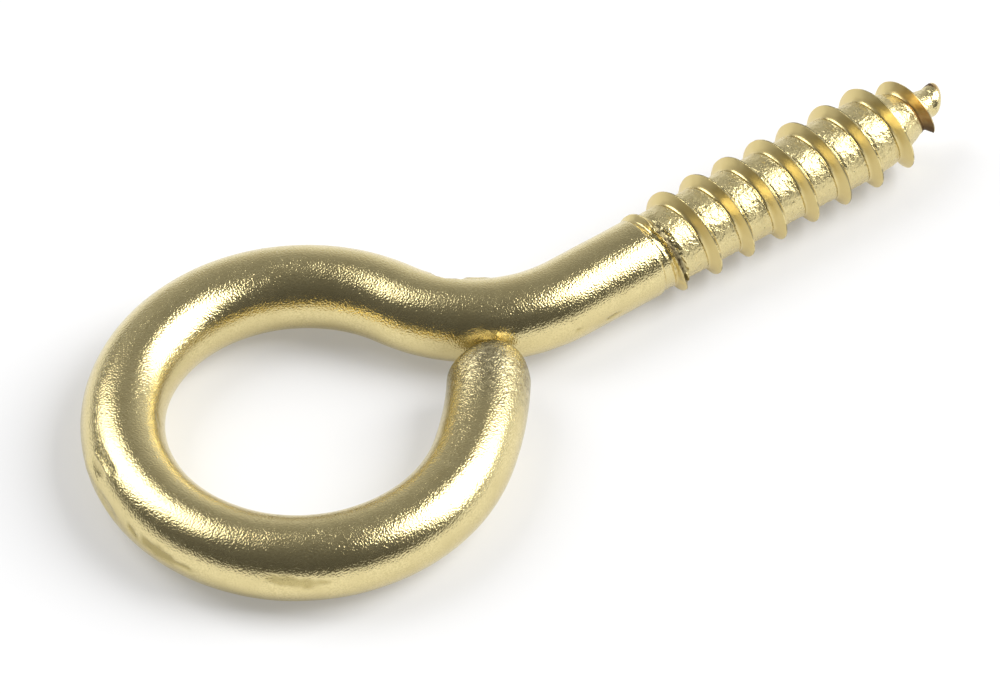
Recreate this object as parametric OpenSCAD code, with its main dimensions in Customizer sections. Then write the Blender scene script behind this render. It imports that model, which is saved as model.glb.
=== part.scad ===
// Screw eye: one length of round brass wire, bent to an open ring and rolled with a wood-screw thread.
// Frame: origin at the centre of the eye, in the wire's middle plane. +X runs along the shank to the
// point, +Z is up, and the part lies as it comes to rest, on the ring and on the thread's crests.

/* [Wire] */
// Diameter of the wire
wire_d = 4; // [3:0.1:5]

/* [Eye] */
// Inside diameter of the ring
eye_inside_d = 12.9; // [10:0.1:20]
// Angle round the ring, from the shank's direction, where the free end begins to open out
free_start_deg = 310; // [302:1:318]
// Radius of the free end's flatter bend, to the wire's centre line
free_bend_r = 20; // [16:0.5:30]
// Gap between the cut face of the free end and the neck
end_gap = 0.8; // [0.3:0.1:2]
// Radius of the worn edge round the cut face
end_edge_r = 1.8; // [1:0.1:2]
// Length of that worn edge along the wire
end_edge_l = 1.2; // [0.5:0.1:1.5]

/* [Neck and shank] */
// Radius of the neck's bend, to the wire's centre line
neck_bend_r = 7.6; // [5:0.1:12]
// Distance from the ring's centre line to the shank's axis, to the free end's side
shank_offset = 1.05; // [0:0.05:1.5]
// Length of straight, plain shank between the neck and the thread
plain_l = 4.4; // [3:0.1:20]

/* [Thread] */
// Length from the shoulder to the end of the point
thread_l = 18.1; // [12:0.1:40]
// Pitch of the single right-hand thread
pitch = 1.93; // [1.6:0.01:2.4]
// Drop from the plain shank to the thread's root
root_drop = 0.1; // [0.05:0.01:0.3]
// Height of the fin above the root
fin_h = 0.52; // [0.3:0.01:0.7]
// Half of the fin's foot on the ring's side
fin_foot_back = 0.46; // [0.3:0.01:0.75]
// Half of the fin's foot on the point's side
fin_foot_front = 0.38; // [0.3:0.01:0.6]
// Width of the worn crest
crest_w = 0.08; // [0.04:0.01:0.15]
// Length over which the fin rises out of the shoulder
runout_l = 2; // [1:0.1:4]
// Side of the shank on which the fin leaves the shoulder: 0 is the free end's side, 90 is underneath
start_deg = 175; // [0:1:360]

/* [Point] */
// Length of the tapering point
point_l = 4.8; // [3:0.1:6]
// How much later than the root the crest begins to taper
crest_lag = 0.7; // [0:0.1:1.5]
// Radius of the blunt nub at the end
nub_r = 0.72; // [0.4:0.01:1]
// How full the crest's taper is: 1 is a straight cone, more is rounder
point_fullness = 1.7; // [1:0.1:2.5]

/* [Hidden] */
brass = [0.79, 0.70, 0.42];
$fn = 96;

// Each bend's turn is moved, by no more than search_deg, to where its sine and cosine cut to six digits
// still lie on the unit circle. The next bend's frame then keeps its scale, and the joint is clean.
digits = 6;
search_deg = 0.02;
search_steps = 1000;
function cut(x) = let(unit = 10 ^ (floor(log(abs(x))) + 1 - digits)) x == 0 ? 0 : round(x / unit) * unit;
function off_circle(deg) = abs(norm([cut(cos(deg)), cut(sin(deg))]) - 1);
function clean_turn(deg) =
    let(
        turns = [for (k = [-search_steps:search_steps]) deg + k * search_deg / search_steps],
        errors = [for (t = turns) off_circle(t)]
    )
    turns[search(min(errors), errors)[0]];

wire_r = wire_d / 2;
ring_r = eye_inside_d / 2 + wire_r;

// The neck's bend touches the ring's circle from outside and ends level with the shank's axis.
ring_to_neck = ring_r + neck_bend_r;
neck_turn_deg = clean_turn(90 - asin((neck_bend_r - shank_offset) / ring_to_neck));
neck_deg = 90 - neck_turn_deg;
neck_centre = ring_to_neck * [cos(neck_deg), sin(neck_deg)];

// The free end's bend touches the ring's circle from inside, so its centre lies beyond the ring's.
ring_turn_deg = clean_turn(free_start_deg - neck_deg);
free_from_deg = neck_deg + ring_turn_deg;
ring_to_free = ring_r - free_bend_r;
free_centre = ring_to_free * [cos(free_from_deg), sin(free_from_deg)];

// The free end's centre line stops where the cut face stands end_gap off the neck. The two bends'
// centres and the middle of that face are a triangle of three known sides.
side = neck_centre - free_centre;
face_to_neck = neck_bend_r + wire_r + end_gap;
face_turn_deg = acos((free_bend_r ^ 2 + side * side - face_to_neck ^ 2) / (2 * free_bend_r * norm(side)));
face_deg = 360 + atan2(side[1], side[0]) - face_turn_deg;
free_turn_deg = clean_turn(face_deg - asin(end_edge_l / free_bend_r) - free_from_deg);

// Radii and places along the threaded length, measured from the start of the straight shank.
root_r = wire_r - root_drop;
crest_r = root_r + fin_h;
tip_z = plain_l + thread_l;
taper_z = tip_z - point_l;
nub_z = tip_z - nub_r;

// The part rests on the far side of the ring and on the first full crest that passes underneath,
// because the crests stand out past the wire.
under_turn = (90 - start_deg) / 360;
rest_turn = under_turn + ceil(runout_l / pitch - under_turn);
rest_span = ring_r + neck_centre[0] + plain_l + rest_turn * pitch;
rest_tilt_deg = atan2(max(crest_r - wire_r, 0), rest_span);

// One turn of the thread is cut into this many steps.
steps = 36;
// The fin's outline, as [place along the shank from the crest, share of the fin's height].
flank_at = 0.78;
flank_share = 0.2;
fin = [
    [-fin_foot_back, 0],
    [-fin_foot_back * flank_at, flank_share],
    [-crest_w / 2, 1],
    [crest_w / 2, 1],
    [fin_foot_front * flank_at, flank_share],
    [fin_foot_front, 0]
];
cols = len(fin);
// The helix starts inside the plain shank, this many turns before the shoulder.
lead_in = 0.5;
lead_in_l = lead_in * pitch;
// Share of the fin's height that comes out of the shoulder at once.
runout_share = 0.4;
// The helix's last whole outline ends a step before the nub begins.
rows = floor(steps * ((nub_z - fin_foot_front - plain_l) / pitch + lead_in)) - 1;
// The nub's round end, as angles from its widest ring towards its pole.
nub_rings = [25, 50, 75];

function clamp01(t) = min(max(t, 0), 1);
function along_point(z, from) = clamp01((z - from) / (nub_z - from));
function root_at(z) = nub_r + (root_r - nub_r) * (1 + cos(180 * along_point(z, taper_z))) / 2;
function runout(z) =
    z < plain_l
    ? runout_share * clamp01((z - plain_l) / lead_in_l + 1)
    : runout_share + (1 - runout_share) * clamp01((z - plain_l) / runout_l);
function crest_at(z) =
    let(share = 1 - along_point(z, taper_z + crest_lag) ^ point_fullness)
    max(root_at(z), nub_r + (root_r + fin_h * runout(z) - nub_r) * share);

function turn(row) = row / steps - lead_in;
function crest_z(row) = plain_l + pitch * turn(row);
function on_shank(r, z, row) =
    let(deg = start_deg + 360 * turn(row))
    [r * cos(deg), r * sin(deg), z];
function thread_point(row, col) =
    let(z = crest_z(row) + fin[col][0], foot = root_at(z))
    on_shank(foot + (crest_at(crest_z(row)) - foot) * fin[col][1], z, row);
function foot_point(row) =
    let(z = min(crest_z(row) - fin_foot_back, nub_z))
    on_shank(root_at(z), z, row);

// Wire bent round the Z axis at radius r, starting on the +X side.
module arc(r, turn_deg) {
    rotate_extrude(angle = turn_deg)
        translate([r, 0]) circle(r = wire_r);
}

// A bend that runs past its end and is trimmed there in the frame of what follows, so that the two
// meet in the very same circle. Its children stand in that frame, which has the end on its +X side.
module bend(r, turn_deg) {
    overrun_deg = asin(wire_r / r);
    difference() {
        arc(r, turn_deg + overrun_deg);
        rotate([0, 0, turn_deg])
            translate([r - wire_d, 0, -wire_d])
                cube([2 * wire_d, wire_d, 2 * wire_d]);
    }
    rotate([0, 0, turn_deg]) children();
}

// Stands its children on the end of a bend of radius r, with +Z along the wire.
module along_wire(r) {
    translate([r, 0, 0]) rotate([-90, 0, 0]) children();
}

// The cut end's worn edge: a true arc that meets the wire's side and stops at the flat face.
module cut_end() {
    core_r = wire_r - end_edge_r;
    rotate_extrude()
        intersection() {
            square([wire_r, end_edge_l]);
            union() {
                translate([core_r, 0]) circle(r = end_edge_r);
                square([core_r, end_edge_l]);
            }
        }
}

module ring_and_free_end() {
    bend(ring_r, ring_turn_deg)
        translate([ring_to_free, 0, 0])
            bend(free_bend_r, free_turn_deg)
                along_wire(free_bend_r) cut_end();
}

module neck_and_shank() {
    translate([ring_to_neck, 0, 0])
        rotate([0, 0, 180])
            bend(neck_bend_r, neck_turn_deg)
                along_wire(neck_bend_r) {
                    cylinder(r = wire_r, h = plain_l);
                    thread();
                }
}

// Core, fin and point as one skin: rows of fin outlines along the helix, each turn joined to the next.
module thread() {
    row_points = [for (row = [0:rows], col = [0:cols - 1]) thread_point(row, col)];
    // No turn follows the last one, so only the back foot of its neighbour carries on, as far as the nub.
    edge_points = [for (row = [rows + 1:rows + steps]) foot_point(row)];
    nub_points = [for (a = nub_rings, k = [0:steps - 1])
        on_shank(nub_r * cos(a), nub_z + nub_r * sin(a), rows + k)];
    poles = [[0, 0, crest_z(0) - fin_foot_back], [0, 0, tip_z]];

    edge_from = len(row_points);
    nub_from = edge_from + len(edge_points);
    root_pole = nub_from + len(nub_points);
    tip_pole = root_pole + 1;
    function at(row, col) =
        col == cols ? at(row + steps, 0)
        : row <= rows ? row * cols + col
        : edge_from + row - rows - 1;
    function nub(ring, k) = nub_from + ring * steps + k % steps;
    last = len(nub_rings) - 1;
    function quad(a, b, c, d) = [[a, b, c], [a, c, d]];

    skin = [for (row = [0:rows - 1], col = [0:cols - 1])
        each quad(at(row, col), at(row, col + 1), at(row + 1, col + 1), at(row + 1, col))];
    root_cap = concat(
        [for (row = [0:steps - 1]) [root_pole, at(row, 0), at(row + 1, 0)]],
        [for (col = [0:cols - 1]) [root_pole, at(0, col + 1), at(0, col)]]
    );
    onto_nub = concat(
        [for (k = [0:steps - 1])
            each quad(at(rows + k, 0), nub(0, k), nub(0, k + 1), at(rows + k + 1, 0))],
        [for (col = [0:cols - 1]) [nub(0, 0), at(rows, col), at(rows, col + 1)]]
    );
    nub_cap = concat(
        [for (ring = [0:last - 1], k = [0:steps - 1])
            each quad(nub(ring, k), nub(ring + 1, k), nub(ring + 1, k + 1), nub(ring, k + 1))],
        [for (k = [0:steps - 1]) [nub(last, k), tip_pole, nub(last, k + 1)]]
    );
    polyhedron(concat(row_points, edge_points, nub_points, poles), concat(skin, root_cap, onto_nub, nub_cap));
}

module screw_eye() {
    color(brass)
        rotate([0, -rest_tilt_deg, 0])
            rotate([0, 0, neck_deg]) {
                ring_and_free_end();
                neck_and_shank();
            }
}

screw_eye();
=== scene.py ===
"""Looks of the screw eye: one brass wire with a rolled thread, on a white sweep between two soft boxes.

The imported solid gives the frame. The shown piece is one finer skin of the same wire: the same centre line,
thread and point, with the worn edges, dents and torn first crest that the solid leaves out. Lengths are in
millimetres until the mesh is made, in the solid's frame before it is tilted to rest.
"""

import math

import bpy
import numpy as np
from mathutils import Matrix, Vector, noise

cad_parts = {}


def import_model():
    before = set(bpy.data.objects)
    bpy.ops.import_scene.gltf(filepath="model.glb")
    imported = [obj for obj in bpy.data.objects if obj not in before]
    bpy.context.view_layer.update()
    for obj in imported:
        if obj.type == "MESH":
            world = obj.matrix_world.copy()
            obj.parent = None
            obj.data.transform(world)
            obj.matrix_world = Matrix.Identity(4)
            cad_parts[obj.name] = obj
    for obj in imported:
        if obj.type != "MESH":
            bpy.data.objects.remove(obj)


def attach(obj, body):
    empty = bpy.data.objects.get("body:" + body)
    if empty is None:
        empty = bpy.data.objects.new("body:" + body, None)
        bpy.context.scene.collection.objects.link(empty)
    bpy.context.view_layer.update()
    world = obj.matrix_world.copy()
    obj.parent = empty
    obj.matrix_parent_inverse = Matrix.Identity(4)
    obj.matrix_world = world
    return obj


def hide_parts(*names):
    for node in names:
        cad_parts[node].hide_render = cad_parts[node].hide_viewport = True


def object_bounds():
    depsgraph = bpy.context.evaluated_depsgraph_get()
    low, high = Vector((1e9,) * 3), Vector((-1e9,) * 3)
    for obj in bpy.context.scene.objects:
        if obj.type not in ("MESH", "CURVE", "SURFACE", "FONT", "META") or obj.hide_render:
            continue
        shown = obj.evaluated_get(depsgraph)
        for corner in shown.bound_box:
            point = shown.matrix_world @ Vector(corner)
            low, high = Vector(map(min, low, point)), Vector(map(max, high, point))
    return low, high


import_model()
cad_lo, cad_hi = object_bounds()

MM = 0.001
TAU = 2 * math.pi

# ---------------------------------------------------------------- sizes, as the part's source has them

WIRE_R = 2.0
RING_R = 8.45  # to the wire's centre line, as in the two bends
FREE_BEND_R = 20.0
FREE_FROM = math.radians(310)  # where the free end leaves the ring's circle
END_GAP = 0.8
END_EDGE_L = 1.2
NECK_BEND_R = 7.6
SHANK_OFFSET = 1.05
PLAIN_L = 4.4
THREAD_L = 18.1
PITCH = 1.93
ROOT_R = 1.9
CREST_R = 2.42
CREST_HALF = 0.04
RUNOUT_L = 2.0
NUB_R = 0.72
START = math.radians(-5)  # where the crest leaves the shoulder, from +Y towards +Z
UNDERSIDE = math.radians(270)

NECK_FROM = math.asin((NECK_BEND_R - SHANK_OFFSET) / (RING_R + NECK_BEND_R))
NECK_CENTRE = (RING_R + NECK_BEND_R) * np.array([math.cos(NECK_FROM), math.sin(NECK_FROM)])
FREE_CENTRE = (RING_R - FREE_BEND_R) * np.array([math.cos(FREE_FROM), math.sin(FREE_FROM)])
TIP_Z = PLAIN_L + THREAD_L
NUB_Z = TIP_Z - NUB_R


def free_turn():
    """The free end's turn, from the triangle of the two bends' centres and the middle of the cut face."""
    side = NECK_CENTRE - FREE_CENTRE
    reach = NECK_BEND_R + WIRE_R + END_GAP
    far = float(np.linalg.norm(side))
    opening = math.acos((FREE_BEND_R**2 + far**2 - reach**2) / (2 * FREE_BEND_R * far))
    face = TAU + math.atan2(side[1], side[0]) - opening
    return face - math.asin(END_EDGE_L / FREE_BEND_R) - FREE_FROM


FREE_TO = FREE_FROM + free_turn()

# The part rests on the ring and on the first full crest that passes underneath.
UNDER_TURN = (UNDERSIDE - START) / TAU
REST_TURN = UNDER_TURN + math.ceil(RUNOUT_L / PITCH - UNDER_TURN)
REST_TILT = math.atan2(CREST_R - WIRE_R, RING_R + NECK_CENTRE[0] + PLAIN_L + REST_TURN * PITCH)
TO_REST = Matrix.Rotation(-REST_TILT, 3, "Y")

# ---------------------------------------------------------------- mesh density

AROUND = 144  # points round the wire, and steps in one turn of the thread
ROW_L = 0.2  # length of a row of faces on the plain wire
# Columns of the thread's grid, from one crest to the next, closer at the crest and at the flanks' feet.
COLS_AT = [0, 0.04, 0.09, 0.16, 0.24, 0.31, 0.34, 0.38, 0.46, 0.55, 0.64, 0.73, 0.82, 0.91, 1.0]
COLS_AT += [1.09, 1.18, 1.27, 1.35, 1.41, 1.455, 1.49, 1.52, 1.6, 1.69, 1.77, 1.84, 1.89, PITCH]
COL_SHARE = np.array(COLS_AT) / PITCH
COLS = len(COLS_AT) - 1

# ---------------------------------------------------------------- curves and noise

SEED_STEPS = (7.3, 3.1, 5.7)
NOISE_GAIN = 2  # Blender's own noise is from about -0.5 to 0.5


def smooth(t):
    """0 up to t = 0, 1 from t = 1 on, and an even ease between them."""
    t = np.clip(t, 0.0, 1.0)
    return t * t * (3 - 2 * t)


def smooth_between(t, low, high):
    return smooth((t - low) / (high - low))


def hump(t, middle, half):
    """1 at the middle, and falling off like a bell on both sides."""
    return np.exp(-(((t - middle) / half) ** 2))


def rough(points, size, seed):
    """Smooth noise, from about -1 to 1, at each point; size is that of its lumps."""
    shift = Vector([seed * step for step in SEED_STEPS])
    flat = np.asarray(points, dtype=float).reshape(-1, 3)
    lumps = np.array([noise.noise(Vector(p) / size + shift) for p in flat])
    return (NOISE_GAIN * lumps).reshape(np.shape(points)[:-1])


def waves(points, layers):
    """Several layers of that noise together, each with its size, height and seed."""
    return sum(height * rough(points, size, seed) for size, height, seed in layers)


# ---------------------------------------------------------------- the plain wire

DOME_L = 1.87  # length of the worn, domed end
DOME_POWER = 1.8  # how full it is: 2 is an ellipse
DOME_OUT = 0.42  # how far its tip leans to the ring's outside, and up
DOME_UP = 0.5
DOME_ROWS = 22
DOME_DEG = 86  # where its first row is, from 0 at its foot to 90 at its tip
LIP_L = 0.2  # length and drop of the shoulder's worn lip
LIP_DROP = 0.09
LIP_ROWS_L = 0.4  # length of shank by the lip that has closer rows, and how far each is from its edge
LIP_ROWS = np.array([0.36, 0.3, 0.24, 0.19, 0.15, 0.11, 0.08, 0.05, 0.025, 0.01, 0])


def arc_rows(centre, radius, start, end, side):
    """Rows (point, normal) round an arc. side is 1 where the normal points out of it."""
    n = max(2, round(abs(end - start) * radius / ROW_L))
    a = np.linspace(start, end, n + 1)
    out = np.stack([np.cos(a), np.sin(a)], 1)
    return centre + radius * out, side * out


def wire_rows():
    """Rows from the domed end to the shoulder: middle points, normals in the XY plane, and radii."""
    end_p, end_n = arc_rows(FREE_CENTRE, FREE_BEND_R, FREE_TO, FREE_FROM, 1)
    ring_p, ring_n = arc_rows(np.zeros(2), RING_R, FREE_FROM, NECK_FROM, 1)
    neck_p, neck_n = arc_rows(NECK_CENTRE, NECK_BEND_R, math.pi + NECK_FROM, 1.5 * math.pi, -1)
    # The dome runs straight on from the free bend.
    along = np.array([math.sin(FREE_TO), -math.cos(FREE_TO)])
    share = np.sin(np.linspace(DOME_DEG, 0, DOME_ROWS, endpoint=False) * math.pi / 180)
    dome_r = WIRE_R * (1 - share**DOME_POWER) ** (1 / DOME_POWER)
    dome_p = end_p[0] - DOME_L * share[:, None] * along
    dome_n = np.repeat(end_n[:1], len(share), 0)
    # Straight shank, with closer rows over the worn lip of the shoulder.
    x = np.concatenate([np.arange(ROW_L, PLAIN_L - LIP_ROWS_L, ROW_L), PLAIN_L - LIP_ROWS])
    shank_p = np.stack([NECK_CENTRE[0] + x, np.full(len(x), -SHANK_OFFSET)], 1)
    shank_n = np.repeat([[0.0, 1.0]], len(x), 0)
    lip = np.clip((x - (PLAIN_L - LIP_L)) / LIP_L, 0, 1)
    shank_r = WIRE_R - LIP_DROP * (1 - np.sqrt(1 - lip**2))

    p = np.concatenate([dome_p, end_p, ring_p[1:], neck_p[1:], shank_p])
    n = np.concatenate([dome_n, end_n, ring_n[1:], neck_n[1:], shank_n])
    r = np.full(len(p), WIRE_R)
    r[:len(dome_r)] = dome_r
    r[-len(shank_r):] = shank_r
    lean = np.zeros((len(p), 1))
    lean[:len(share), 0] = share**2
    return np.concatenate([p + DOME_OUT * lean * n, DOME_UP * lean], 1), n, r


def on_ring(deg, around_deg):
    """A place on the ring's surface: the angle round the ring, and round the wire from outside to top."""
    a, b = math.radians(deg), math.radians(around_deg)
    reach = RING_R + WIRE_R * math.cos(b)
    return np.array([reach * math.cos(a), reach * math.sin(a), WIRE_R * math.sin(b)])


def on_neck(deg, around_deg):
    """A place on the neck's surface: the angle round its bend, and round the wire from inside to top."""
    a, b = math.radians(deg), math.radians(around_deg)
    reach = NECK_BEND_R - WIRE_R * math.cos(b)
    x, y = NECK_CENTRE + reach * np.array([math.cos(a), math.sin(a)])
    return np.array([x, y, WIRE_R * math.sin(b)])


def on_shank(x, around_deg):
    """A place on the plain shank's surface, x from where the shank starts."""
    b = math.radians(around_deg)
    return np.array([NECK_CENTRE[0] + x, WIRE_R * math.cos(b) - SHANK_OFFSET, WIRE_R * math.sin(b)])


# The burr on the domed end is placed from a point on the wire's centre line, this far into the dome.
BURR_FROM_L = 1.7
BURR_FROM = np.append(FREE_CENTRE + FREE_BEND_R * np.array([math.cos(FREE_TO), math.sin(FREE_TO)]), 0)
BURR_FROM[:2] += BURR_FROM_L * np.array([-math.sin(FREE_TO), math.cos(FREE_TO)])

# Knocks and scrapes: the mark's two ends, half its width, how far it is pressed in, and how scuffed it is.
# One with a depth below 0 stands out.
MARKS = [
    (on_ring(163, 44), on_ring(170, 50), 0.34, 0.05, 0.25),
    (on_ring(164, 30), on_ring(169, 34), 0.26, 0.05, 0.35),
    (on_ring(161, 8), on_ring(168, 16), 0.4, -0.05, 0.1),
    (on_ring(172, 6), on_ring(178, 2), 0.35, 0.06, 0.1),
    (on_ring(186, 10), on_ring(187.5, 5), 0.26, 0.035, 1),
    (on_ring(192, 6), on_ring(199.5, 4), 0.4, 0.045, 1),
    (on_ring(202, 3), on_ring(206, 3), 0.2, 0.03, 0.9),
    (on_ring(229, 19), on_ring(238, 13), 0.4, 0.02, 0.8),
    (on_ring(241, 14), on_ring(243, 12), 0.16, 0.02, 0.7),
    (on_neck(219, 38), on_neck(223.5, 39), 0.7, 0.17, 0),
    (on_neck(230.5, 41), on_neck(238, 41), 0.28, -0.05, 0),
    (on_shank(-0.9, 179), on_shank(-0.6, 181), 0.12, 0.03, 1),
    (on_shank(1.0, 191), on_shank(1.5, 188), 0.15, 0.035, 1),
    (on_ring(149, 146), on_ring(155, 150), 0.08, 0.02, 1),
    (on_ring(353, 62), on_ring(349, 40), 0.12, 0.03, 0.3),
    (BURR_FROM + [0.75, -0.45, 0.95], BURR_FROM + [0.85, -0.5, 0.9], 0.16, -0.1, 0),
]
MARK_FLAT = 0.4  # share of a mark's width that is its flat bottom
MARK_RAGGED = (0.4, 0.3, 10)  # how its width varies, as a layer of noise

# Layers of noise: size, height and seed.
UNEVEN = [(2.6, 0.006, 1), (0.6, 0.0025, 2)]
END_UNEVEN = [(0.9, 0.03, 3), (0.35, 0.014, 4)]  # the domed end is beaten rough
END_ROUGH_TO = 0.6  # how far from the tip it is fully rough, and over what length that fades
END_ROUGH_FADE = 1.5
END_WORN_TO = 1.2  # the same for its worn, mottled skin, measured along the wire
END_WORN_FADE = 4.6
TRUE_ROWS = 6  # rows by the shoulder over which the skin comes back to the true wire


def mark_share(points, start, end, half_width):
    """1 on a mark, falling to 0 beyond its edge."""
    line = end - start
    along = np.clip((points - start) @ line / (line @ line), 0, 1)
    away = np.linalg.norm(points - start - along[..., None] * line, axis=-1)
    return 1 - smooth_between(away / half_width, MARK_FLAT, 1)


def plain_wire():
    """Points of the plain wire, row by row, how scuffed each is, and how worn by the cut end."""
    middle, normals, radii = wire_rows()
    turn = START + TAU * np.arange(AROUND) / AROUND
    out = np.stack([
        normals[:, None, 0] * np.cos(turn),
        normals[:, None, 1] * np.cos(turn),
        np.repeat(np.sin(turn)[None], len(middle), 0),
    ], -1)
    points = middle[:, None] + radii[:, None, None] * out

    push = waves(points, UNEVEN)
    scuffed = np.zeros(push.shape)
    width = 1 + waves(points, [MARK_RAGGED])
    for start, end, half_width, depth, scuff in MARKS:
        share = mark_share(points, start, end, half_width * width)
        push = push - depth * share
        scuffed = np.maximum(scuffed, scuff * share)

    from_tip = np.linalg.norm(points - middle[0], axis=-1)
    push = push + (1 - smooth((from_tip - END_ROUGH_TO) / END_ROUGH_FADE)) * waves(points, END_UNEVEN)
    # The push is outwards from the centre line, so it shrinks with the dome's rows and ends with them.
    push = push * np.minimum(1, radii / WIRE_R)[:, None]
    push = push * smooth(np.arange(len(middle) - 1, -1, -1) / TRUE_ROWS)[:, None]

    row_steps = np.diff(middle, axis=0, prepend=middle[:1])
    from_end = np.cumsum(np.linalg.norm(row_steps, axis=1))[:, None]
    end_worn = np.repeat(1 - smooth((from_end - END_WORN_TO) / END_WORN_FADE), AROUND, 1)
    return points + push[..., None] * out, scuffed, end_worn


# ---------------------------------------------------------------- the thread, as radius over place and angle

# Radii of the root and the crest at places along the shank, and straight between those.
ROOT_PLACES = [0, 17.4, 18.2, 19.2, 20.35, 21.1, 21.4, NUB_Z]
ROOT_RADII = [ROOT_R, ROOT_R, 1.85, 1.6, 1.12, 0.82, 0.7, NUB_R]
CREST_PLACES = [0, 17.9, 18.7, 19.35, 20.07, 20.83, 21.5, NUB_Z]
CREST_RADII = [CREST_R, CREST_R, 2.37, 2.24, 1.92, 1.42, 1.2, 1.0]
# Share of the fin's height at the turns where it rises out of the shoulder.
RISE_TURNS = [-0.2, 0, 0.18, 0.24, 0.3, 0.45, 0.57, 0.76, 1.1]
RISE_SHARES = [0, 0.25, 0.52, 0.56, 0.42, 0.46, 0.85, 0.92, 1]
FIN_ENDS = (8.58, 8.66)  # turns over which the last fin breaks off

# A flank is a straight, steep slope on a slack foot. Its width is from the crest's middle to the foot's end.
FLANK_BACK = 0.42  # on the ring's side
FLANK_FRONT = 0.33
FOOT_SHARE = 0.08  # height of the foot, as a share of the fin's, and its width
FOOT_L = 0.07
LOW_FIN = 0.45  # a low fin keeps this share of the full one's width


def root_at(z):
    return np.interp(z, ROOT_PLACES, ROOT_RADII)


def crest_z(turn):
    return PLAIN_L + PITCH * turn


def crest_h(turn):
    """Height of the crest over the root, which rises out of the shoulder and breaks off at the point."""
    z = crest_z(turn)
    full = np.maximum(np.interp(z, CREST_PLACES, CREST_RADII) - root_at(z), 0)
    return full * np.interp(turn, RISE_TURNS, RISE_SHARES) * (1 - smooth_between(turn, *FIN_ENDS))


def flank(away, width, height):
    """Share of the fin's height this far from its crest."""
    width = width * (LOW_FIN + (1 - LOW_FIN) * np.minimum(1, height / (CREST_R - ROOT_R)))
    steep = 1 - (1 - FOOT_SHARE) * (away - CREST_HALF) / (width - FOOT_L - CREST_HALF)
    slack = FOOT_SHARE * (width - away) / FOOT_L
    return np.clip(np.maximum(steep, slack), 0, 1)


def on_screw(angle, z, r):
    """Places at z along the shank and r from its axis. The angle is from +Y towards +Z."""
    x = np.broadcast_to(NECK_CENTRE[0] + z, np.shape(r))
    return np.stack([x, r * np.cos(angle) - SHANK_OFFSET, r * np.sin(angle)], -1)


HAMMER = [(0.34, 0.011, 5), (0.17, 0.009, 6)]  # the root's beaten skin, as layers of noise
HAMMER_FADE_FRONT = 0.1  # width over which it fades in beyond the front flank, and beyond the back one
HAMMER_FADE_BACK = 0.08
HAMMER_FROM = (0.55, 0.75)  # turns over which it begins, so that there is none before the first crest
HAMMER_SLOPE = 0.8  # share of the helix's slope that its beginning follows
HAMMER_ENDS = (20.6, 21.2)  # where it fades on the point, and the share of it that is lost
HAMMER_LOST = 0.6
FIN_UNEVEN = [(0.5, 0.006, 7)]
# The back flank's mask below also carries a warmer gold, painted for the light bounced between the fins.
ROLLED_BEYOND = 0.02  # the back flank's rolled, even skin reaches this far past its foot, and fades over this
ROLLED_FADE = 0.06
ROLLED_FIN = (0.15, 0.35)  # heights of fin over which that skin comes in
RIM_H = 0.022  # low ridge that the rolling left along the root, behind the fin's back foot
RIM_AT = 0.5
RIM_HALF = 0.05
RIM_FIN = 0.3  # height of fin from which the ridge is full

# The first crest was torn as it was rolled: pushed back towards the shoulder, with a dark crevice in front
# that ends in a burr.
TORN_FROM = (0.22, 0.3)  # turns over which the tear begins, and over which it ends
TORN_TO = (0.5, 0.6)
TORN_BACK = 0.15  # how far the crest is pushed back, and how ragged that is
TORN_RAGGED = 0.03
TORN_STEEP = 0.45  # share of the back flank's width that is lost
TORN_UNEVEN = [(0.3, 0.03, 9)]
TORN_WHOLE = 0.15  # width behind the crest that is pushed back with it, and over which that fades
TORN_FADE = 0.3
RAGGED = (0.2, 8)  # size and seed of the ragged edge of the tear, the crevice, its painted shade and the stains
CREVICE_TO = 0.27  # its far edge from the crest, the share by which that is ragged, and the edge's width
CREVICE_RAGGED = 0.3
CREVICE_FADE = 0.08
CREVICE_DEPTH = 0.09  # below the root
CREVICE_UNEVEN = 0.015
TEAR_BURR_TURN = 0.545
TEAR_BURR_HALF_TURN = 0.022
TEAR_BURR_AT = 0.2  # in front of the crest
TEAR_BURR_HALF = 0.06
TEAR_BURR_H = 0.4
TEAR_BURR_UNSHADED = 2  # 1 over the share of its height from which it is bare brass, without the crevice's painted shade


def torn(turn):
    return smooth_between(turn, *TORN_FROM) * (1 - smooth_between(turn, *TORN_TO))


# How dark each place is painted (shade in the crevice and by the crest's front edge, dirt where the last fin
# broke off) or how stained it is, at most, and the widths, fin heights and turns over which that changes.
# The crevice is painted dark for the shade under the torn crest: this much at most, ragged by this share.
CREVICE_PAINTED_SHADE = 0.85
CREVICE_PAINTED_SHADE_RAGGED = 0.25
CREVICE_DARK_TO = 0.1  # the painted shade is full up to here from the crest, and loses this share by the far edge
CREVICE_LIGHTER = 0.75
# The crest's front edge is painted dark in patches for shade: this much at most, over these widths from the
# crest, in patches, and on fins of these heights.
EDGE_PAINTED_SHADE = 0.6
EDGE_PAINTED_SHADE_ENDS = (0.1, 0.2)
EDGE_PATCHES = (0.5, 11)  # size and seed of its patches, and the noise over which they come in
EDGE_PATCHES_FROM = (-0.4, 0.3)
EDGE_PAINTED_SHADE_FIN = (0.3, 0.4)
FIN_END_GRIME = 0.85
FIN_END_GRIMY = (8.32, 8.56)
FIN_END_BROWN = (8.1, 8.45)
FIN_END_BEYOND = 0.1  # both reach this far past the back flank's foot
STAIN = 0.9
STAIN_RAGGED = 0.2

SLANT_FROM = 20.95  # the nub is cut off on a slant, and leans to its longer side
SLANT_SIDE = math.radians(36)
SLANT = 0.3
SLANT_LEAN = 0.1
NUB_SWELL = 0.07


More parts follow.
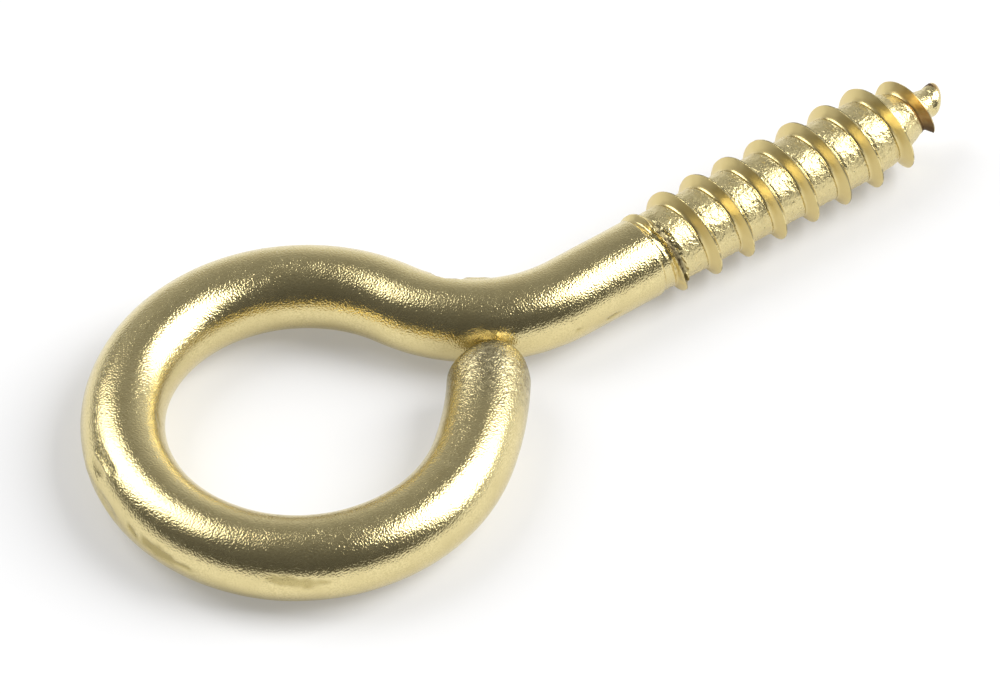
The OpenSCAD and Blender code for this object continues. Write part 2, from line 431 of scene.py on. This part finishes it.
def slant_end(points):
    """Slants, leans and swells the end of the point."""
    x = points[..., 0] - NECK_CENTRE[0]
    share = smooth_between(x, SLANT_FROM, NUB_Z)[..., None]
    side = np.array([0, math.cos(SLANT_SIDE), math.sin(SLANT_SIDE)])
    across = (points - [0, -SHANK_OFFSET, 0]) * [0, 1, 1]
    longer = [SLANT, 0, 0] * np.clip((across @ side)[..., None] / NUB_R, -1, 1)
    return points + share * (NUB_SWELL * across + SLANT_LEAN * side + longer)


def thread_grid(steps):
    """Points of the thread over (step, column), and the surface's conditions there, by name."""
    turn = (np.arange(-AROUND, steps + 1) / AROUND)[:, None]
    angle = START + TAU * turn
    low, high = np.maximum(PLAIN_L, crest_z(turn)), np.minimum(NUB_Z, crest_z(turn + 1))
    z = low + (high - low) * COL_SHARE[None, :COLS]
    # Each row runs from this turn's crest to the next one's: ahead of the first and behind the second.
    ahead, behind = z - crest_z(turn), crest_z(turn + 1) - z
    here, after = crest_h(turn), crest_h(turn + 1)
    flank_back = FLANK_BACK * (1 - TORN_STEEP * torn(turn + 1))
    r = root_at(z) + np.maximum(
        here * flank(ahead, FLANK_FRONT, here),
        after * flank(behind, flank_back, after),
    )
    points = on_screw(angle, z, r)

    # The beaten root, the rolled back flank and the ridge.
    hammered = smooth((ahead - FLANK_FRONT) / HAMMER_FADE_FRONT)
    hammered = hammered * smooth((behind - FLANK_BACK) / HAMMER_FADE_BACK)
    hammered = hammered * smooth_between(turn + 1 - HAMMER_SLOPE * behind / PITCH, *HAMMER_FROM)
    # The back flank: a rolled skin, painted there a warmer gold for bounced light.
    on_flank = smooth((FLANK_BACK + ROLLED_BEYOND - behind) / ROLLED_FADE)
    on_flank = on_flank * smooth_between(after, *ROLLED_FIN)
    r = r + hammered * waves(points, HAMMER) + (1 - hammered) * waves(points, FIN_UNEVEN)
    r = r + RIM_H * hump(behind, RIM_AT, RIM_HALF) * np.minimum(1, after / RIM_FIN)

    # The torn first crest, on both sides of it, and its crevice.
    ragged = rough(points, *RAGGED)
    pushed_behind = torn(turn + 1) * (1 - smooth((behind - TORN_WHOLE) / TORN_FADE))
    pushed = torn(turn) * (ahead < CREST_HALF) + pushed_behind
    z = z - pushed * (TORN_BACK + TORN_RAGGED * ragged)
    r = r + pushed * waves(points, TORN_UNEVEN)
    crevice_to = CREVICE_TO * (1 + CREVICE_RAGGED * ragged)
    crevice = torn(turn) * (ahead >= CREST_HALF) * (1 - smooth((ahead - crevice_to) / CREVICE_FADE))
    crevice_r = root_at(z) - (CREVICE_DEPTH + CREVICE_UNEVEN * ragged)
    burr = hump(turn, TEAR_BURR_TURN, TEAR_BURR_HALF_TURN) * hump(ahead, TEAR_BURR_AT, TEAR_BURR_HALF)
    r = r + crevice * (crevice_r - r) + TEAR_BURR_H * burr
    z = np.maximum(z, PLAIN_L)  # the shoulder's plane cuts the grid off cleanly
    points = on_screw(angle, z, r)

    # Painted shade in the crevice and, in patches, along the crest's front edge; dirt where the last fin
    # broke off.
    # The crevice's painted shade is darkest under the torn crest, and the burr stays clear of it.
    dark = 1 - CREVICE_LIGHTER * smooth_between(ahead, CREVICE_DARK_TO, CREVICE_TO)
    dark = dark * (CREVICE_PAINTED_SHADE + CREVICE_PAINTED_SHADE_RAGGED * ragged)
    dark = dark * (1 - np.clip(TEAR_BURR_UNSHADED * burr, 0, 1))
    # Painted shade in patches along the crest's front edge.
    patches = smooth_between(rough(points, *EDGE_PATCHES), *EDGE_PATCHES_FROM)
    edge = EDGE_PAINTED_SHADE * (1 - smooth_between(ahead, *EDGE_PAINTED_SHADE_ENDS)) * patches
    edge = edge * smooth_between(here, *EDGE_PAINTED_SHADE_FIN)
    behind_fin = behind < FLANK_BACK + FIN_END_BEYOND
    fin_end = FIN_END_GRIME * smooth_between(turn + 1, *FIN_END_GRIMY) * behind_fin
    # Painted shade and the broken fin's dirt, in one mask.
    grimy = np.clip(np.maximum(np.maximum(crevice * dark, edge), fin_end), 0, 1)
    brown = smooth_between(turn + 1, *FIN_END_BROWN) * behind_fin
    return slant_end(points), {
        "hammered": hammered * (1 - HAMMER_LOST * smooth_between(z, *HAMMER_ENDS)),
        "grimy": grimy,
        "stained": np.clip(brown * (STAIN + STAIN_RAGGED * ragged), 0, 1),
        "on_flank": on_flank,
    }


# ---------------------------------------------------------------- one closed skin

CONDITIONS = ("scuffed", "hammered", "grimy", "stained", "end_worn", "on_flank")
POLE_OUT = 0.3  # how far the domed end's last point stands out, in rows
NUB_DEGS = (10, 20, 30, 40, 50, 60, 70, 80)
NUB_L = 0.46  # length of the nub's round end
NUB_STAIN_Z = 21.9  # the stain on the nub: where it is along and around the shank, and half its width
NUB_STAIN_ANGLE = math.radians(76)
NUB_STAIN_HALF = 0.5


class Skin:
    """Points, their conditions, and the faces between them."""

    def __init__(self):
        self.points = []
        self.conditions = []
        self.faces = []

    def add(self, point, **shares):
        self.points.append(tuple(point))
        self.conditions.append([float(shares.get(name, 0)) for name in CONDITIONS])
        return len(self.points) - 1

    def band(self, ring, next_ring):
        for j in range(AROUND):
            k = (j + 1) % AROUND
            self.faces.append((ring[j], ring[k], next_ring[k], next_ring[j]))


def add_plain_wire(skin):
    """The wire from its domed end to the shoulder. Gives back its last ring of points."""
    points, scuffed, end_worn = plain_wire()
    rings = []
    for row in range(len(points)):
        at_row = zip(points[row], scuffed[row], end_worn[row])
        rings.append([skin.add(point, scuffed=a, end_worn=b) for point, a, b in at_row])
    first, second = points[0].mean(0), points[1].mean(0)
    pole = skin.add(first + (first - second) * POLE_OUT, end_worn=1)
    skin.faces.extend((pole, rings[0][(j + 1) % AROUND], rings[0][j]) for j in range(AROUND))
    for ring, next_ring in zip(rings[:-1], rings[1:]):
        skin.band(ring, next_ring)
    return rings[-1]


def add_on_nub(skin, z, radius, step):
    """A point of the nub, which is stained on one side."""
    point = slant_end(on_screw(START + TAU * step / AROUND, z, radius))
    away = np.linalg.norm(point - on_screw(NUB_STAIN_ANGLE, NUB_STAIN_Z, NUB_R))
    return skin.add(point, stained=1 - smooth(away / NUB_STAIN_HALF))


def add_thread(skin, shoulder):
    """The thread, from the shoulder's ring to the nub's widest one, which it gives back.

    Its grid follows the crest. It is clipped by the shoulder's plane at one end and by the nub's widest ring
    at the other, where its columns close up to nothing.
    """
    steps = math.floor((NUB_Z - PLAIN_L) / PITCH * AROUND)
    grid, conditions = thread_grid(steps)
    known = {}
    nub_ring = {}

    def nub_point(step):
        j = step % AROUND
        if j not in nub_ring:
            nub_ring[j] = add_on_nub(skin, NUB_Z, NUB_R, j)
        return nub_ring[j]

    def vertex(step, col):
        """The grid's point. A turn's last column is the next turn's first."""
        if col == COLS:
            return vertex(step + AROUND, 0) if step + AROUND <= steps else nub_point(step)
        if step == -AROUND or (step == 0 and col == 0):
            step, col = 0, 0
        if (step, col) not in known:
            i = step + AROUND
            shares = {name: values[i, col] for name, values in conditions.items()}
            known[step, col] = skin.add(grid[i, col], **shares)
        return known[step, col]

    skin.band(shoulder, [vertex(step - AROUND, 0) for step in range(AROUND)])
    for step in range(-AROUND, steps):
        for col in range(COLS):
            a, b = vertex(step, col), vertex(step, col + 1)
            c, d = vertex(step + 1, col + 1), vertex(step + 1, col)
            corners = tuple(dict.fromkeys((a, d, c, b)))
            if len(corners) > 2:
                skin.faces.append(corners)
    # What is left between the last row and the nub's ring.
    last_row = [vertex(steps, col) for col in range(COLS + 1)]
    join = nub_point(steps + 1)
    for a, b in zip(last_row[:-1], last_row[1:]):
        if a != b:
            skin.faces.append((a, join, b))
    return [nub_point(k) for k in range(AROUND)]


def add_nub_end(skin, ring):
    """The nub's round end, from its widest ring to its tip."""
    for deg in NUB_DEGS:
        a = math.radians(deg)
        z, radius = NUB_Z + NUB_L * math.sin(a), NUB_R * math.cos(a)
        next_ring = [add_on_nub(skin, z, radius, k) for k in range(AROUND)]
        skin.band(ring, next_ring)
        ring = next_ring
    tip = add_on_nub(skin, NUB_Z + NUB_L, 0.0, 0)
    skin.faces.extend((ring[j], ring[(j + 1) % AROUND], tip) for j in range(AROUND))


def add_object(name, data):
    obj = bpy.data.objects.new(name, data)
    bpy.context.scene.collection.objects.link(obj)
    return obj


SHARP = math.radians(38)  # an edge that turns by more than this is shown as a sharp one


def wire_mesh():
    skin = Skin()
    shoulder = add_plain_wire(skin)
    nub_ring = add_thread(skin, shoulder)
    add_nub_end(skin, nub_ring)
    mesh = bpy.data.meshes.new("wire")
    mesh.from_pydata((np.array(skin.points) @ np.array(TO_REST).T * MM).tolist(), [], skin.faces)
    mesh.update()
    for polygon in mesh.polygons:
        polygon.use_smooth = True
    mesh.set_sharp_from_angle(angle=SHARP)
    for name, values in zip(CONDITIONS, np.array(skin.conditions).T):
        mesh.attributes.new(name, "FLOAT", "POINT").data.foreach_set("value", values)
    return mesh


# ---------------------------------------------------------------- brass


class Nodes:
    """Short names for making and linking a material's nodes."""

    def __init__(self, tree):
        self.tree = tree

    def new(self, kind, **values):
        node = self.tree.nodes.new(kind)
        for key, value in values.items():
            setattr(node, key, value)
        return node

    def link(self, value, socket):
        """Links a node's output to a socket, or sets the socket to a plain value."""
        if isinstance(value, bpy.types.NodeSocket):
            self.tree.links.new(value, socket)
        else:
            socket.default_value = value

    def math(self, operation, a, b):
        node = self.new("ShaderNodeMath", operation=operation)
        self.link(a, node.inputs[0])
        self.link(b, node.inputs[1])
        return node.outputs[0]

    def noise(self, place, scale, detail, roughness=0.5):
        node = self.new("ShaderNodeTexNoise")
        self.link(place, node.inputs["Vector"])
        node.inputs["Scale"].default_value = scale
        node.inputs["Detail"].default_value = detail
        node.inputs["Roughness"].default_value = roughness
        return node.outputs["Fac"]

    def remap(self, value, low, high, to_low=0.0, to_high=1.0):
        node = self.new("ShaderNodeMapRange", clamp=True)
        for socket, v in zip(node.inputs, (value, low, high, to_low, to_high)):
            self.link(v, socket)
        return node.outputs["Result"]

    def mix(self, share, a, b):
        node = self.new("ShaderNodeMix", data_type="RGBA")
        self.link(share, node.inputs[0])
        self.link(a, node.inputs[6])
        self.link(b, node.inputs[7])
        return node.outputs[2]

    def attribute(self, name):
        return self.new("ShaderNodeAttribute", attribute_name=name).outputs["Fac"]

    def bump(self, height, distance, normal=None):
        node = self.new("ShaderNodeBump")
        node.inputs["Strength"].default_value = 1.0
        node.inputs["Distance"].default_value = distance
        self.link(height, node.inputs["Height"])
        if normal is not None:
            self.link(normal, node.inputs["Normal"])
        return node.outputs["Normal"]


BRASS = (0.8, 0.69, 0.365, 1)
BRASS_DULL = (0.6, 0.49, 0.225, 1)
BRASS_SCUFFED = (0.46, 0.375, 0.15, 1)
# A warmer gold painted on the back flanks for the light bounced between the fins.
PAINTED_FLANK_BOUNCE = (0.74, 0.605, 0.275, 1)
BRASS_WORN = (0.53, 0.47, 0.29, 1)
BRASS_BLOTCH = (0.31, 0.255, 0.13, 1)
COPPER_STAIN = (0.5, 0.28, 0.09, 1)
# Near black: dirt in the specks and where the last fin broke off, and painted shade in the crevice and along
# the crest's front edge.
GRIME_AND_SHADE_COLOUR = (0.045, 0.03, 0.018, 1)
WORN_SHARE = 0.8  # how much of the worn and the scuffed colour shows where the skin is fully so
SCUFFED_SHARE = 0.9

# Noises: scale in lumps a metre, detail, and roughness where it isn't the usual one.
PATCHES = (700, 3)
GRAIN = (11500, 1)  # of a single size, because the render's noise filter smooths away what is finer
BLOTCHES = (3500, 3, 0.6)
SPECKS = (6000, 3, 0.6)
SATIN = (2500, 3)
BEATEN = (5600, 3, 0.55)
# What each is remapped to: its low and high value, and what they become where that isn't 0 and 1.
PATCHES_TO = (0.35, 0.7, 0, 0.5)
GRAIN_TO = (0.35, 0.65, 0, 0.55)
BLOTCHES_TO = (0.42, 0.62, 0, 0.85)
SPECKS_TO = (0.68, 0.74)
SATIN_TO = (0.3, 0.7, 0.15, 0.22)

# What each condition adds to the satin's roughness.
WORN_ROUGHER = 0.12
FLANK_ROUGHER = 0.18
HAMMERED_ROUGHER = 0.1
END_ROUGHER = 0.06
DIRT_AND_SHADE_ROUGHER = 0.35

FINE_BUMP = 0.00002
BEATEN_BUMP = 0.00005
END_BEATEN = 1.3  # how beaten the cut end's skin is, against the thread's root


def brass_material():
    material = bpy.data.materials.new("brass")
    material.use_nodes = True
    n = Nodes(material.node_tree)
    shader = n.tree.nodes["Principled BSDF"]
    place = n.new("ShaderNodeTexCoord").outputs["Object"]
    scuffed, hammered, grimy, stained, end_worn, on_flank = (n.attribute(name) for name in CONDITIONS)
    off_flank = n.math("SUBTRACT", 1.0, on_flank)
    sandy = n.math("MAXIMUM", hammered, end_worn)

    # Colour: a pale brass that dulls in slow patches, in a fine sandy grain and in scuffs.
    patches = n.remap(n.noise(place, *PATCHES), *PATCHES_TO)
    grain = n.math("MULTIPLY", n.remap(n.noise(place, *GRAIN), *GRAIN_TO), off_flank)
    colour = n.mix(n.math("MAXIMUM", patches, grain), BRASS, BRASS_DULL)
    # Painted reflection: the back flanks are warmer gold for light bounced between the fins.
    colour = n.mix(on_flank, colour, PAINTED_FLANK_BOUNCE)
    colour = n.mix(n.math("MULTIPLY", end_worn, WORN_SHARE), colour, BRASS_WORN)
    colour = n.mix(n.math("MULTIPLY", scuffed, SCUFFED_SHARE), colour, BRASS_SCUFFED)
    colour = n.mix(stained, colour, COPPER_STAIN)
    blotches = n.remap(n.noise(place, *BLOTCHES), *BLOTCHES_TO)
    colour = n.mix(n.math("MULTIPLY", end_worn, blotches), colour, BRASS_BLOTCH)
    specks = n.remap(n.noise(place, *SPECKS), *SPECKS_TO)
    # Darkened towards that near black: real specks on sandy and scuffed skin, and the thread's mask of
    # painted shade and dirt.
    dirt_and_shade = n.math("MAXIMUM", grimy, n.math("MULTIPLY", specks, n.math("MAXIMUM", sandy, scuffed)))
    n.link(n.mix(dirt_and_shade, colour, GRIME_AND_SHADE_COLOUR), shader.inputs["Base Color"])

    # Gloss: a satin that is rougher where the brass is worn, stained, rolled, beaten, dirty or painted dark
    # for shade.
    shader.inputs["Metallic"].default_value = 1.0
    satin = n.remap(n.noise(place, *SATIN), *SATIN_TO)
    worn = n.math("MULTIPLY", n.math("MAXIMUM", scuffed, stained), WORN_ROUGHER)
    worn = n.math("MAXIMUM", worn, n.math("MULTIPLY", on_flank, FLANK_ROUGHER))
    satin = n.math("ADD", satin, worn)
    satin = n.math("ADD", satin, n.math("MULTIPLY", hammered, HAMMERED_ROUGHER))
    satin = n.math("ADD", satin, n.math("MULTIPLY", end_worn, END_ROUGHER))
    satin = n.math("ADD", satin, n.math("MULTIPLY", dirt_and_shade, DIRT_AND_SHADE_ROUGHER))
    n.link(satin, shader.inputs["Roughness"])

    # Skin: a fine grain all over, and a coarser beaten skin on the thread's root and the cut end.
    normal = n.bump(n.math("MULTIPLY", n.noise(place, *GRAIN), off_flank), FINE_BUMP)
    beaten = n.math("ADD", hammered, n.math("MULTIPLY", end_worn, END_BEATEN))
    normal = n.bump(n.math("MULTIPLY", n.noise(place, *BEATEN), beaten), BEATEN_BUMP, normal)
    n.link(normal, shader.inputs["Normal"])
    return material


wire = add_object("wire", wire_mesh())
wire.data.materials.append(brass_material())
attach(wire, "root")
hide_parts("screw_eye")

# ---------------------------------------------------------------- floor, light and camera

WHITE = (1, 1, 1, 1)
FLOOR_HALF = 3.0
FLOOR_CORNERS = [(-1, -1), (1, -1), (1, 1), (-1, 1)]
FLOOR_COLOUR = (0.635, 0.635, 0.64, 1)
FLOOR_GLOW = 0.24
FLOOR_ROUGHNESS = 0.9


def floor():
    mesh = bpy.data.meshes.new("floor")
    corners = [(FLOOR_HALF * x, FLOOR_HALF * y, cad_lo.z) for x, y in FLOOR_CORNERS]
    mesh.from_pydata(corners, [], [(0, 1, 2, 3)])
    material = bpy.data.materials.new("white_sweep")
    material.use_nodes = True
    shader = material.node_tree.nodes["Principled BSDF"]
    shader.inputs["Base Color"].default_value = FLOOR_COLOUR
    # The sweep lets some light through from below, so the shadows under the wire stay pale.
    shader.inputs["Emission Color"].default_value = WHITE
    shader.inputs["Emission Strength"].default_value = FLOOR_GLOW
    shader.inputs["Roughness"].default_value = FLOOR_ROUGHNESS
    shader.inputs["Specular IOR Level"].default_value = 0.0
    mesh.materials.append(material)
    obj = add_object("floor", mesh)


BOXES_FACE = Vector((0.012, 0, 0))


def soft_box(name, azimuth, elevation, distance, width, height, radiance):
    a, e = math.radians(azimuth), math.radians(elevation)
    towards = Vector((math.cos(a) * math.cos(e), math.sin(a) * math.cos(e), math.sin(e)))
    light = bpy.data.lights.new(name, "AREA")
    light.shape = "RECTANGLE"
    light.size, light.size_y = width, height
    light.energy = radiance * math.pi * width * height
    obj = add_object(name, light)
    obj.location = BOXES_FACE + towards * distance
    obj.rotation_mode = "QUATERNION"
    obj.rotation_quaternion = towards.to_track_quat("Z", "Y")


FAR_SIDE = (0.557, 0.663, 0.5)  # where the room is lightest: behind the part and above it
ROOM_AT = (-0.9, 0.2, 0.95)  # how far towards that side the room has each of the next three strengths
ROOM_NEAR = 0.08
ROOM_SIDE = 0.16
ROOM_FAR = 0.3
SWEEP_SIDE = (0.966, 0.259, 0)  # where the white sweep rises behind the part
SWEEP_FROM = 0.2  # how far towards that side it begins
SWEEP_GLOW = 0.68
SWEEP_FADES = (0.1, 0.75)  # how far up it fades
UP = (0, 0, 1)


def world():
    w = bpy.data.worlds.new("room")
    bpy.context.scene.world = w
    w.use_nodes = True
    n = Nodes(w.node_tree)
    towards = n.new("ShaderNodeTexCoord").outputs["Generated"]

    def facing(side):
        dot = n.new("ShaderNodeVectorMath", operation="DOT_PRODUCT")
        n.link(towards, dot.inputs[0])
        dot.inputs[1].default_value = side
        return dot.outputs["Value"]

    at_near, at_side, at_far = ROOM_AT
    near = n.remap(facing(FAR_SIDE), at_near, at_side, ROOM_NEAR, ROOM_SIDE)
    far = n.remap(facing(FAR_SIDE), at_side, at_far, 0, ROOM_FAR - ROOM_SIDE)
    low = n.remap(facing(UP), *SWEEP_FADES, SWEEP_GLOW, 0)
    glow = n.math("MULTIPLY", low, n.remap(facing(SWEEP_SIDE), SWEEP_FROM, 1))
    strength = n.math("ADD", n.math("ADD", near, far), glow)
    back = n.tree.nodes["Background"]
    back.inputs["Color"].default_value = WHITE
    n.link(strength, back.inputs["Strength"])


# The camera was fitted to the photo's outline, in the solid's frame before it is tilted to rest.
PICTURE_W = 1000
FOCAL_PX = 8101.17
SENSOR_W = 36
CAMERA_AT = Vector((-130.98, -212.29, 290.11))
CAMERA_RIGHT = Vector((0.81922, -0.57322, -0.01733))
CAMERA_DOWN = Vector((-0.4411, -0.6105, -0.65782))
CAMERA_CLIPS = (0.01, 10)


def camera():
    data = bpy.data.cameras.new("camera")
    data.sensor_width = SENSOR_W
    data.lens = FOCAL_PX / PICTURE_W * data.sensor_width
    data.clip_start, data.clip_end = CAMERA_CLIPS
    obj = add_object("camera", data)
    right = TO_REST @ CAMERA_RIGHT.normalized()
    up = -(TO_REST @ CAMERA_DOWN.normalized())
    back = right.cross(up).normalized()
    up = back.cross(right)
    turn = Matrix((right, up, back)).transposed().to_4x4()
    obj.matrix_world = Matrix.Translation(TO_REST @ CAMERA_AT * MM) @ turn
    bpy.context.scene.camera = obj


floor()
soft_box("soft_box_right", azimuth=-30, elevation=42, distance=0.6, width=0.42, height=0.5, radiance=6.6)
soft_box("soft_box_left", azimuth=123, elevation=45, distance=0.6, width=0.39, height=0.48, radiance=3.8)
world()
camera()
bpy.context.scene.view_settings.view_transform = "Standard"
